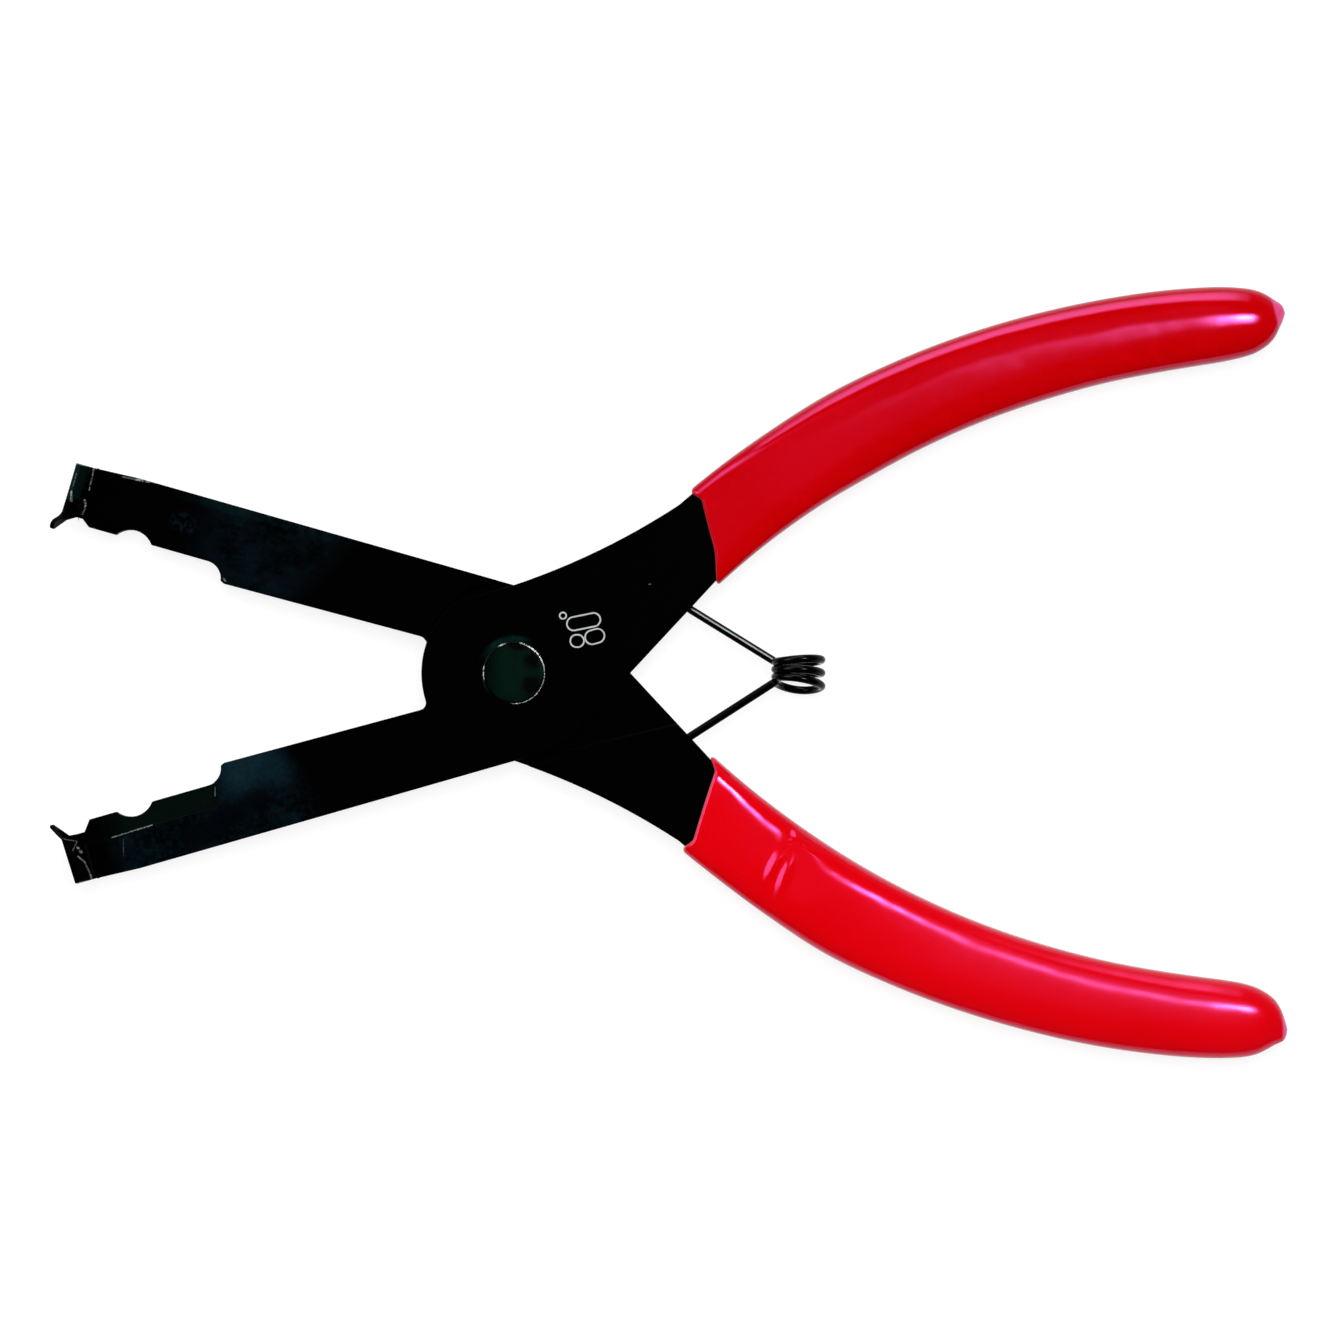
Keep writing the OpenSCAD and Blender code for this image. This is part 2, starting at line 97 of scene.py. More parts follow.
def closed_skin(name, rings, first, last):
    """Joins ring k, point j to ring k+1, point j+1 for all k and j at once.

    rings has the shape (rings, around, 3) in mm; first and last are the two
    points that close the ends.
    """
    count, around = rings.shape[:2]
    index = np.arange(count * around).reshape(count, around)
    beside = np.roll(index, -1, axis=1)
    corners = [index[:-1], beside[:-1], beside[1:], index[1:]]
    quads = np.stack(corners, axis=-1).reshape(-1, 4)
    head, tail = (np.full(around, count * around + k) for k in (0, 1))
    start = np.stack([beside[0], index[0], head], axis=-1)
    end = np.stack([index[-1], beside[-1], tail], axis=-1)
    points = np.vstack([rings.reshape(-1, 3), [first], [last]]) * MM
    thirds = np.vstack([quads[:, [0, 1, 2]], quads[:, [0, 2, 3]], start, end])
    if signed_volume(points, thirds) < 0:
        quads, start, end = quads[:, ::-1], start[:, ::-1], end[:, ::-1]
    mesh = bpy.data.meshes.new(name)
    mesh.from_pydata(points, [], quads.tolist() + start.tolist() + end.tolist())
    mesh.shade_smooth()
    piece = placed(name, mesh)
    print(name, "rings", count, "around", around, "faces", len(mesh.polygons))
    return piece


def smooth(x):
    """Smooth step 3x^2 - 2x^3, held at 0 below 0 and at 1 above 1."""
    x = np.clip(x, 0, 1)
    return x * x * (3 - 2 * x)


def bump(x, middle, spread):
    """Bell curve exp(-((x - middle) / spread)^2)."""
    return np.exp(-(((x - middle) / spread) ** 2))


def through(x, stops, values):
    """Cubic curve through given points.

    Between two stops h apart, with t from 0 to 1, it is
    (2t^3 - 3t^2 + 1) a + (t^3 - 2t^2 + t) h p + (3t^2 - 2t^3) b + (t^3 - t^2) h q,
    with a and b the values and p and q the slopes at the two ends.
    """
    stops, values = np.asarray(stops, float), np.asarray(values, float)
    slope = np.gradient(values, stops)
    i = np.clip(np.searchsorted(stops, x) - 1, 0, len(stops) - 2)
    h = stops[i + 1] - stops[i]
    t = np.clip((x - stops[i]) / h, 0, 1)
    rise = (3 - 2 * t) * t * t
    bend = (t**3 - 2 * t * t + t) * slope[i] + (t**3 - t * t) * slope[i + 1]
    return values[i] * (1 - rise) + values[i + 1] * rise + h * bend


# %% [markdown]
# ## The dipped grips
# A vinyl grip is made by dipping the hot handle into liquid plastic. It
# follows the handle's curve, is boxy near the front, gets rounder towards the
# end, and the last drop hardens to a small nub. Its form is a section carried
# along an arc, so it is worked out as one function of two parameters: the
# distance along the handle and the angle around it.

# %% The curve of the handles
grip_start = np.array([34.6, 24.9])
grip_heading = math.radians(40.5)
grip_bend = 161.8
grip_length = 114.8
half_height = 5.0
lip_radius = 0.8
drip_start = 104.0
grip_middle = grip_start + grip_bend * np.array(
    [math.sin(grip_heading), -math.cos(grip_heading)]
)


def on_grip(along, across):
    """Point on a circle: middle + (bend + across) * (cos t, sin t).

    t = heading + 90 deg - along / bend, so along is a true length in mm.
    """
    turn = grip_heading + math.pi / 2 - along / grip_bend
    reach = grip_bend + across
    return grip_middle[0] + reach * np.cos(turn), grip_middle[1] + reach * np.sin(turn)


print("grip arc middle, mm:", grip_middle.round(2))


# %% Rings along a grip
def grip_stations(end):
    """Distance along, and how far the section is drawn in at the open end.

    The lip is a quarter circle of radius r: s = r (1 - cos a), drawn in by
    r (1 - sin a). Two rings inside it close the opening. Past the drip's start
    s runs like the sine of an angle, so its steps shrink towards the tip.
    """
    turn = np.linspace(0, math.pi / 2, 8)
    drip = np.sin(np.linspace(0, math.pi / 2, 40)[1:])
    s = np.concatenate([
        [0.8, 0.2],
        lip_radius * (1 - np.cos(turn)),
        np.arange(1.1, 26, 0.26),
        np.linspace(26.3, drip_start, 110),
        drip_start + (end - 0.2 - drip_start) * drip,
    ])
    inset = np.concatenate([[1.7, 1.3], lip_radius * (1 - np.sin(turn))])
    return s[:, None], np.pad(inset, (0, len(s) - len(inset)))[:, None]


print("rings along a grip:", len(grip_stations(grip_length)[0]))


# %% One grip as a function of distance and angle
around_grip = 144


def signed_power(value, power):
    """The power of the size of a value, with the value's own sign."""
    return np.sign(value) * np.abs(value) ** power


def grip_rings(front, nose, boxy, mirror, stops, outer, inner, end):
    """Superellipse |x/w|^n + |z/h|^n = 1 carried along the handle's arc.

    n falls from 3.6 to 2.2 along the grip, and boxy(along) is added to it. The
    two edges run through the outer and inner values at the stops, in mm across
    the arc. front(across) moves the open end to and fro, and
    nose(along, across, up) is added to the height. The height falls by 0.18 mm
    from 98 mm, and past the drip's start it shrinks with the width.
    """
    s, inset = grip_stations(end)
    turn = np.linspace(0, 2 * math.pi, around_grip, endpoint=False)[None, :]
    power = 2 / (3.6 - 1.4 * s / grip_length + boxy(s))
    side = signed_power(np.cos(turn), power)
    rise = signed_power(np.sin(turn), power)
    far = through(s, stops, outer)
    near = through(s, stops, inner)
    half = (far - near) / 2
    across = (far + near) / 2 + (half - inset) * side
    full = through(np.array([[drip_start]]), stops, np.subtract(outer, inner) / 2)
    share = np.where(s > drip_start, np.clip(half / full, 0, 1) ** 0.9, 1)
    height = half_height * (1 - 0.1 * s / grip_length) + nose(s, across, rise)
    height = height - 0.005 * (np.clip(s, 98, drip_start) - 98) ** 2
    up = (height * share - inset) * rise
    along = s + front(across) * np.clip(1 - s / 22, 0, 1) ** 1.5
    x, y = on_grip(along, across)
    return np.stack([x, mirror * y, plate_mid + up], axis=-1)


def paint(piece, name, values):
    """Stores one number per point of the rings, 0 at the two closing points."""
    layer = piece.data.attributes.new(name, "FLOAT", "POINT")
    layer.data.foreach_set("value", np.append(values.ravel(), [0.0, 0.0]))


def make_grip(name, mirror, cap, **shape):
    """Rings, a point in the open end and the tip of the drip, as one skin.

    Two numbers are stored for the finish: lip is 1 on the thin front edge, where a
    highlight is painted, and cap is 1 past the line s = cap[0] + cap[1] v on the drip.
    """
    skin = grip_rings(mirror=mirror, **shape)
    x0, y0 = on_grip(3.0, 0.0)
    x1, y1 = on_grip(shape["end"], (shape["outer"][-1] + shape["inner"][-1]) / 2)
    first = [x0, mirror * y0, plate_mid]
    last = [x1, mirror * y1, plate_mid]
    piece = closed_skin(name, skin, first, last)
    s = np.broadcast_to(grip_stations(shape["end"])[0], skin.shape[:2])
    x, y = skin[..., 0], mirror * skin[..., 1]
    reach = np.hypot(x - grip_middle[0], y - grip_middle[1])
    lip = np.zeros(skin.shape[:2])
    lip[2:6] = 1.0  # the front half of the lip's quarter circle
    paint(piece, "lip", lip)
    paint(piece, "cap", smooth((s - cap[0] - cap[1] * (reach - grip_bend)) / 0.5 + 0.5))
    return piece


# %% [markdown]
# The two grips differ in their open ends. Both are cut at a slant and hang
# back at the corners, as dipped plastic does. The lower one is also pressed
# flat up to a fold across the handle, with two low ridges beside it.

# %% The upper grip
def upper_front(across):
    """Slanted edge 1.1 + 0.47 v, which turns back at both corners."""
    back = 1.6 * smooth((across - 5) / 2.8) + 1.7 * smooth((-2.4 - across) / 6.8)
    return 1.1 + 0.47 * across - back


def upper_nose(along, across, up):
    """Thinner by 1.1 mm at the lip, full after 18 mm."""
    return -1.1 * (1 - smooth(along / 18))


upper_grip = make_grip(
    "upper_grip_skin",
    1,
    cap=(113.2, -0.25),
    front=upper_front,
    nose=upper_nose,
    boxy=lambda s: 1.4 * (1 - smooth(s / 34)),
    stops=[0, 8, 20, 32, 44, 56, 68, 80, 92, 98, 104, 107, 109, 110.5, 112, 113,
           113.8, 114.3, 114.7],
    outer=[8.1, 8.16, 8.25, 8.46, 8.28, 8.06, 7.78, 7.52, 7.3, 7.14, 6.84, 6.5,
           6.12, 5.6, 4.75, 4.05, 3.5, 3.0, 2.1],
    inner=[-8.4, -8.3, -8.28, -8.4, -8.2, -8.02, -7.88, -7.62, -7.38, -7.12, -6.62,
           -6.1, -5.54, -4.8, -3.7, -2.5, -0.9, 0.2, 1.4],
    end=114.8,
)


# %% The lower grip with its fold
def lower_front(across):
    """Slanted edge 0.43 v - 0.53, which turns back at both corners."""
    back = 1.5 * smooth((across - 5) / 3.2) + 1.8 * smooth((-6.4 - across) / 1.6)
    return -0.53 + 0.43 * across - back


def lower_nose(along, across, up):
    """Falls by 0.6 mm towards the fold, with a swell of 0.5 mm after it.

    The fall's slope is 0.095 up to 2.5 mm and 0.005 from 8 mm, with a smooth
    step between, so its height is that step's integral x - x^3 + x^4 / 2.
    The fold has two ridges of 0.6 mm across the handle. At their inner side
    are a patch of 0.48 mm and a curved arm of 0.28 mm that runs on from them.
    All but the fall are on the upper face only.
    """
    x = np.clip((along - 2.5) / 5.5, 0, 1)
    fall = 0.05 + 0.005 * along + 0.09 * np.clip(along, 0, 2.5)
    fall = fall + 0.495 * (x - x**3 + x**4 / 2)
    flat = -fall * (1 - smooth((along - 14.5) / 12))
    swell = 0.5 * smooth((along - 14) / 12) * (1 - smooth((along - 27) / 22))
    first = 0.6 * bump(along, 15.9 + 0.1 * across, 0.95) * bump(across, 0.1, 2.9)
    second = 0.6 * bump(along, 18.5 + 0.22 * across, 0.95) * bump(across, 0.4, 2.9)
    pinch = 0.48 * smooth((along - 15.2) / 1.5) * (1 - smooth((along - 17) / 8))
    pinch = pinch * bump(across, -6.1, 1.4)
    line = 2.2 * np.exp(-np.clip(along - 16.4, -0.8, 9) / 1.7) - 6.2
    arm = smooth((across - line) / 1.2 + 0.5) * (1 - smooth((across - line - 0.6) / 7))
    arm = 0.28 * arm * smooth((along - 15.4) / 1.2) * (1 - smooth((along - 18) / 9))
    return flat + (first + second + pinch + arm + swell) * (up > 0)


lower_grip = make_grip(
    "lower_grip_skin",
    -1,
    cap=(114.2, 0.0),
    front=lower_front,
    nose=lower_nose,
    boxy=lambda s: 1.2 * (1 - smooth(s / 11)) - 0.1 * bump(s, 15, 5),
    stops=[0, 8, 20, 32, 44, 56, 68, 80, 92, 98, 104, 107, 109, 110.5, 112, 113,
           114, 114.5, 114.9, 115.15],
    outer=[8.3, 8.32, 8.58, 9.0, 8.64, 8.24, 7.88, 7.6, 7.24, 7.04, 6.68, 6.35, 5.94,
           5.35, 4.5, 3.9, 3.44, 3.12, 2.45, 1.6],
    inner=[-8.4, -8.38, -8.32, -8.22, -8.14, -8.08, -8.06, -8.0, -7.9, -7.76, -7.45,
           -7.08, -6.58, -5.95, -5.04, -4.14, -2.58, -1.34, -0.1, 0.8],
    end=115.2,
)

for piece, body, node in (
    (upper_grip, "upper_handle", "upper_grip"),
    (lower_grip, "lower_handle", "lower_grip"),
):
    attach(piece, body)
    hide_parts(node)

# %% [markdown]
# ## The spring
# A torsion spring is one wire: a hooked end in the first lever, a straight
# leg, three turns and the same again. A tube follows its middle line. It is
# made in two halves, which meet at the underside of the coil.

# %% Middle line of the wire
wire_radius = 0.74
coil_start = np.array([47.4, 2.05])
seat = np.array([30.3, 12.6])
coil_radius = 4.22

# sideways shift of the wire after each quarter turn, in mm
side_step = [0, 0.2, 0, 0.1, 0, 0.26, 0, 0.3, 0, 0.5, 0, -0.75, 0.45]


def coil_line(turned):
    """Three turns about an axis along Y, spread apart on the far side.

    x = -r cos a, z = r sin a, and y runs from +2.05 to -2.05 mm, times 1 to
    1.75 towards +X, plus the side step of each quarter turn, in mm.
    """
    a = np.radians(turned)
    x = -coil_radius * np.cos(a)
    done = turned / (3 * 360)
    spread = 1 + 0.75 * (x + coil_radius) / (2 * coil_radius)
    step = through(turned, np.arange(len(side_step)) * 90, side_step)
    y = coil_start[1] * (1 - 2 * done) * spread + step
    z = plate_mid + coil_radius * np.sin(a)
    return np.stack([coil_start[0] + coil_radius + x, y, z], axis=-1)


def rounded(line, window, spacing=0.16):
    """Running mean over a length of wire, which rounds the sharp corners.

    The line is first cut into even steps of about the spacing. At both ends it
    runs on as its own point reflection. All lengths are in mm.
    """
    steps = np.linalg.norm(np.diff(line, axis=0), axis=1)
    length = np.concatenate([[0], np.cumsum(steps)])
    even = np.linspace(0, length[-1], int(length[-1] / spacing))
    line = np.stack([np.interp(even, length, line[:, k]) for k in range(3)], axis=-1)
    width = max(1, int(window / spacing)) | 1
    pad = width // 2
    ahead = 2 * line[:1] - line[1 : pad + 1][::-1]
    after = 2 * line[-1:] - line[-pad - 1 : -1][::-1]
    long = np.vstack([ahead, line, after])
    kernel = np.ones(width) / width
    parts = [np.convolve(long[:, k], kernel, "valid") for k in range(3)]
    return np.stack(parts, axis=-1)


def leg_and_coil(first_turn, last_turn, side):
    """Hook, straight leg and part of the coil as one line of points."""
    hook = np.array([[seat[0], side * seat[1], plate_mid - 1.75]])
    corner = np.array([[seat[0], side * seat[1], plate_mid]])
    turns = coil_line(np.linspace(first_turn, last_turn, 260))
    return rounded(np.vstack([hook, corner, turns]), 1.3)


upper_line = leg_and_coil(0, 630, 1)
lower_line = leg_and_coil(1080, 630, -1)
print("wire lengths, mm:", [
    round(float(np.linalg.norm(np.diff(line, axis=0), axis=1).sum()), 1)
    for line in (upper_line, lower_line)
])


# %% A tube along the wire
def wire_rings(line, around=28):
    """Circle r (u cos t + v sin t) about each point of the line.

    The wire never runs along Y, so u is Y crossed with the wire's direction,
    and v is that direction crossed with u. The hook, its first 14 points, is
    0.09 mm thinner.
    """
    hook = 1 - smooth((np.arange(len(line)) - 14) / 12)
    ahead = np.gradient(line, axis=0)
    ahead /= np.linalg.norm(ahead, axis=1, keepdims=True)
    u = np.cross([0, 1, 0], ahead)
    u /= np.linalg.norm(u, axis=1, keepdims=True)
    v = np.cross(ahead, u)
    turn = np.linspace(0, 2 * math.pi, around, endpoint=False)
    circle = (
        np.cos(turn)[None, :, None] * u[:, None, :]
        + np.sin(turn)[None, :, None] * v[:, None, :]
    )
    return line[:, None, :] + (wire_radius - 0.09 * hook)[:, None, None] * circle


def make_spring(name, line, node):
    """One half of the wire, with a painted highlight where its leg faces up and towards
    +Y.

    The painted highlight rises from 0 at 10 degrees from that direction to 1 at 4
    degrees.
    """
    rings = wire_rings(line)
    piece = closed_skin(name, rings, line[0], line[-1])
    # the painted highlight faces this way
    glint_side = np.array([0.152, 0.249, 0.956])
    facing = (rings - line[:, None]) @ glint_side / wire_radius
    mark = smooth((facing - 0.984) / 0.013)
    mark[line[:, 0] > coil_start[0] + 0.4] = 0
    paint(piece, "drawn", mark)
    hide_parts(node)
    return piece


upper_spring = make_spring("upper_spring_half", upper_line, "upper_spring_leg")
lower_spring = make_spring("lower_spring_half", lower_line, "lower_spring_leg")
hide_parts("spring_coil")
for piece, leg, side in (
    (upper_spring, "upper_leg", 1),
    (lower_spring, "lower_leg", -1),
):
    near = (0.0445, side * 0.0039, plate_mid * MM)
    far = (0.0472, side * 0.0023, plate_mid * MM)
    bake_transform(piece)

# %% [markdown]
# ## The rivet
# The rivet is a turned part: one outline spun about the pivot axis. Its two
# ends stand 0.12 mm proud of the steel, and their rims are rounded over by
# hammering. Beneath the heads it narrows to the shank.

# %% Spinning the rivet's outline
def spun(outline, around=96):
    """(r, z) of the outline becomes (r cos t, r sin t, z) for every angle t."""
    r, z = np.asarray(outline, float).T
    turn = np.linspace(0, 2 * math.pi, around, endpoint=False)
    x = r[:, None] * np.cos(turn)
    y = r[:, None] * np.sin(turn)
    return np.stack([x, y, np.broadcast_to(z[:, None], x.shape)], axis=-1)


top = plate_top + 0.12
bottom = 2 * plate_mid - top
head = [
    (1.5, top - 0.005), (3.6, top - 0.008), (5.1, top - 0.012), (5.42, top - 0.035),
    (5.6, top - 0.085), (5.68, top - 0.16), (5.66, top - 0.24), (4.0, top - 1.42),
]
under = [(r, 2 * plate_mid - z) for r, z in head[::-1]]
rivet = closed_skin("rivet_turned", spun(head + under), [0, 0, top], [0, 0, bottom])
rivet.data.set_sharp_from_angle(angle=math.radians(50))
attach(rivet, "upper_handle")
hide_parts("pivot_rivet")

# %% [markdown]
# ## The steel levers
# The levers are stamped from thick plate, with ground steps, a lap at the
# pivot and a bent tip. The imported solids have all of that, so a copy of each
# is used. Its loose triangles are merged into whole faces, and a bevel rounds
# the edges by an eighth of a millimetre, as tumbling does after stamping.

# %% Copies with whole faces and rounded edges
def keep_flats(mesh, curve=28.0, flat=0.3, large=6e-6):
    """Marks an edge sharp above 28 degrees, or between two large flat faces.

    Large is 6 square mm, and two such faces are kept apart from 0.3 degrees.
    The angle between faces comes from their normals: cos a = n1 . n2.
    """
    loops = len(mesh.loops)
    edge = np.zeros(loops, int)
    mesh.loops.foreach_get("edge_index", edge)
    faces = len(mesh.polygons)
    sizes, areas, normals = np.zeros(faces, int), np.zeros(faces), np.zeros(faces * 3)
    mesh.polygons.foreach_get("loop_total", sizes)
    mesh.polygons.foreach_get("area", areas)
    mesh.polygons.foreach_get("normal", normals)
    face = np.repeat(np.arange(faces), sizes)
    order = np.argsort(edge, kind="stable")
    pairs = face[order].reshape(-1, 2)
    n = normals.reshape(-1, 3)
    cosine = np.clip((n[pairs[:, 0]] * n[pairs[:, 1]]).sum(axis=1), -1, 1)
    angle = np.degrees(np.arccos(cosine))
    both_large = (areas[pairs] > large).all(axis=1)
    sharp = (angle > curve) | (both_large & (angle > flat))
    mark = mesh.attributes.new("sharp_edge", "BOOLEAN", "EDGE")
    mark.data.foreach_set("value", sharp)
    print("sharp edges", int(sharp.sum()), "of", len(sharp))


def rounded_copy(node, name, body, width=0.13):
    """Copy of a solid with whole faces and a two-step bevel, width in mm.

    Points within 2 micrometres are merged, slivers under 4 micrometres are
    dissolved, and triangles that lie within 1 degree become one face.
    """
    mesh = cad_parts[node].data.copy()
    mesh.name = name
    work = bmesh.new()
    work.from_mesh(mesh)
    bmesh.ops.remove_doubles(work, verts=work.verts, dist=0.000002)
    bmesh.ops.dissolve_degenerate(work, dist=0.000004, edges=work.edges)
    bmesh.ops.dissolve_limit(
        work, angle_limit=math.radians(1.0), verts=work.verts, edges=work.edges
    )
    work.to_mesh(mesh)
    work.free()
    mesh.materials.clear()
    mesh.shade_smooth()
    keep_flats(mesh)
    piece = placed(name, mesh)
    bevel = piece.modifiers.new("tumbled_edges", "BEVEL")
    bevel.width = width * MM
    bevel.segments = 2
    bevel.limit_method = "ANGLE"
    bevel.angle_limit = math.radians(32)
    bevel.use_clamp_overlap = False
    bevel.miter_outer = "MITER_ARC"
    bevel.harden_normals = True
    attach(piece, body)
    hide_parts(node)
    print(name, "faces", len(mesh.polygons))
    return piece


lower_jaw = rounded_copy("lower_jaw_lever", "lower_jaw_steel", "upper_handle")
upper_jaw = rounded_copy("upper_jaw_lever", "upper_jaw_steel", "lower_handle")

# %% [markdown]
# ## Writing finishes like sums
# A finish is a graph of small nodes. Placing and joining them one by one
# hides the idea, so one small class wraps the output of a node and lets
# Python's own signs join it: a + b, 1 - a, a * b. Every other node is made
# with one method, which sets its settings first and then joins its inputs.

# %% A node output that can be used in sums
class Signal:
    """The output of one node; sums and methods add the nodes that use it."""

    def __init__(self, tree, socket=None):
        self.tree = tree
        self.socket = socket

    def node(self, kind, settings, inputs, out=0):
        """Any node: its type, its settings, its inputs, and which output."""
        made = self.tree.nodes.new("ShaderNode" + kind)
        for name, value in settings.items():
            setattr(made, name, value)
        for name, value in inputs.items():
            self.join(value, made.inputs[name])
        return Signal(self.tree, made.outputs[out] if len(made.outputs) else None)

    def join(self, value, target):
        """Links a signal, or writes a number or a colour on the input."""
        if isinstance(value, Signal):
            self.tree.links.new(value.socket, target)
        elif hasattr(target.default_value, "__len__"):
            size = len(target.default_value)
            parts = list(value) if hasattr(value, "__len__") else [value] * 3
            target.default_value = (parts + [1.0])[:size]
        else:
            target.default_value = value

    def pair(self, other, work, turned=False):
        """Two inputs joined as colours, as vectors or as plain numbers."""
        a, b = (other, self) if turned else (self, other)
        kinds = [
            x.socket.type if isinstance(x, Signal)
            else "VECTOR" if hasattr(x, "__len__") else "VALUE"
            for x in (a, b)
        ]
        if "RGBA" in kinds:
            settings = {"data_type": "RGBA", "blend_type": work}
            return self.node("Mix", settings, {0: 1.0, 6: a, 7: b}, 2)
        kind = "VectorMath" if "VECTOR" in kinds else "Math"
        return self.node(kind, {"operation": work}, {0: a, 1: b})

    def __add__(self, other):
        return self.pair(other, "ADD")

    def __radd__(self, other):
        return self.pair(other, "ADD", True)

    def __sub__(self, other):
        return self.pair(other, "SUBTRACT")

    def __rsub__(self, other):
        return self.pair(other, "SUBTRACT", True)

    def __mul__(self, other):
        return self.pair(other, "MULTIPLY")

    def __rmul__(self, other):
        return self.pair(other, "MULTIPLY", True)

    def __truediv__(self, other):
        return self.pair(other, "DIVIDE")

    def work(self, name, *others):
        """A Math node with this signal first, such as ABSOLUTE or MINIMUM."""
        inputs = dict(enumerate((self,) + others))
        return self.node("Math", {"operation": name}, inputs)

    def part(self, axis):
        """One part of a vector: 0 is x, 1 is y and 2 is z."""
        return self.node("SeparateXYZ", {}, {0: self}, axis)

    def ramp(self, low, high):
        """Smooth step from 0 at low to 1 at high; low may be above high."""
        settings = {"interpolation_type": "SMOOTHSTEP"}
        if low < high:
            inputs = {"Value": self, "From Min": low, "From Max": high}
            return self.node("MapRange", settings, inputs)
        inputs = {"Value": self, "From Min": high, "From Max": low}
        return 1 - self.node("MapRange", settings, inputs)

    def mix(self, first, second):
        """This signal is how much of the second colour covers the first."""
        settings = {"data_type": "RGBA"}
        return self.node("Mix", settings, {0: self, 6: first, 7: second}, 2)

    def noise(self, scale, detail=3.0, rough=0.5):
        """Cloudy pattern from 0 to 1, with scale patches to the metre."""
        inputs = {"Vector": self, "Scale": scale, "Detail": detail, "Roughness": rough}
        return self.node("TexNoise", {}, inputs)


print("signal class ready")


# %% A finish with its constants and its changing inputs
def finish(name, constants, changing):
    """New material: constants go on the shader's own inputs.

    changing(place) gets the position on the object in metres and returns the
    signals of the inputs that vary over the surface.
    """
    material = bpy.data.materials.new(name)
    material.use_nodes = True
    tree = material.node_tree
    shader = tree.nodes["Principled BSDF"]
    for key, value in constants.items():
        shader.inputs[key].default_value = value
    place = Signal(tree).node("TexCoord", {}, {}, "Object")
    for key, signal in changing(place).items():
        tree.links.new(signal.socket, shader.inputs[key])
    print("finish", name, "nodes", len(tree.nodes))
    return material


def grain(height, strength, distance):
    """Bump node that turns a height signal into a slightly tilted surface."""
    inputs = {"Height": height, "Strength": strength, "Distance": distance}
    return height.node("Bump", {}, inputs)


def stored(place, name):
    """The number that was stored under a name on the points of a piece."""
    return place.node("Attribute", {"attribute_name": name}, {}, "Fac")


# %% Distances and marks in millimetres
def flat_mm(place):
    """Position seen from above: x and y in mm, and 0 for z."""
    return place * (1000, 1000, 0)


def about_pivot(place):
    """x and y, the distance sqrt(x^2 + y^2) in mm and the angle about the pivot."""
    x, y = place.part(0) * 1000, place.part(1) * 1000
    return x, y, (x * x + y * y).work("SQRT"), y.work("ARCTAN2", x)


def line_gap(flat, x0, y0, x1, y1):
    """Distance in mm from the line between (x0, y0) and (x1, y1).

    The nearest point of the line is a + h (b - a), with h the projection
    (p - a) . (b - a) / |b - a|^2 held between 0 and 1.
    """
    run = (x1 - x0, y1 - y0, 0)
    away = flat - (x0, y0, 0)
    dot = away.node(
        "VectorMath", {"operation": "DOT_PRODUCT"}, {0: away, 1: run}, "Value"
    )
    share = dot.node(
        "Math",
        {"operation": "MULTIPLY", "use_clamp": True},
        {0: dot, 1: 1 / (run[0] ** 2 + run[1] ** 2)},
    )
    nearest = {0: run, "Scale": share}
    rest = away - share.node("VectorMath", {"operation": "SCALE"}, nearest)
    return rest.node("VectorMath", {"operation": "LENGTH"}, {0: rest}, "Value")


def scratch(flat, x0, y0, x1, y1, wide):
    """1 on the line between two points, 0 beyond wide mm from it."""
    return line_gap(flat, x0, y0, x1, y1).ramp(wide, wide * 0.35)


def brightest(marks):
    """The largest of several signals at each point."""
    found = marks[0]
    for mark in marks[1:]:
        found = found.work("MAXIMUM", mark)
    return found


def bump_signal(signal, middle, spread):
    """Bell curve exp(-((x - middle) / spread)^2) as nodes."""
    step = (signal - middle) / spread
    return (step * step * -1).work("EXPONENT")


print("helpers ready")

# %% [markdown]
# ## Black steel
# The levers have a satin black finish. Towards the tips the jaws are ground
# thinner, and there a blue and green sheen of reflected light is painted into
# the black. Pale flecks and thin lines are partly bare steel where edges were
# knocked and partly painted highlights along edges and bends. The colour is
# mixed from masks in millimetres, so each mark sits where it is on the tool.

# %% Masks shared by both levers
black = (0.0003, 0.0003, 0.0004)
# colour of the flecks: bare steel, and painted highlights
bare_and_glint = (0.34, 0.38, 0.36)
steel_constants = {"Specular IOR Level": 0.016}


def jaw_place(place, angle, side):
    """Distance along a jaw and outward from its line, both in mm.

    The line leaves the pivot towards -X, turned by angle degrees towards +Y
    where side is 1, and towards -Y where it is -1.
    """
    c, s = math.cos(math.radians(angle)), math.sin(math.radians(angle))
    x, y = place.part(0) * 1000, place.part(1) * (1000 * side)
    return y * s - x * c, x * s + y * c


def bent_up(place):
    """1 on the tips, which stand above the plate."""
    return place.part(2).ramp(0.0056, 0.0075)


def on_face(place):
    """1 on the plate's upper face, 0 from half a millimetre below it."""
    return place.part(2).ramp(0.0046, 0.005)


def scratches_and_glints(place, flecks):
    """The brightest of all the flecks, broken up by a fine noise."""
    flat = flat_mm(place)
    marks = [scratch(flat, *line, wide) * strong for *line, wide, strong in flecks]
    return brightest(marks) * place.noise(2600, 2.0).ramp(0.36, 0.52)


def stamped_grain(place):
    """The fine even grain of the plate, which shows through its finish."""
    return grain(place.noise(5200, 2.0), 0.06, 0.0001)


print("black", black, "bare steel", bare_and_glint)
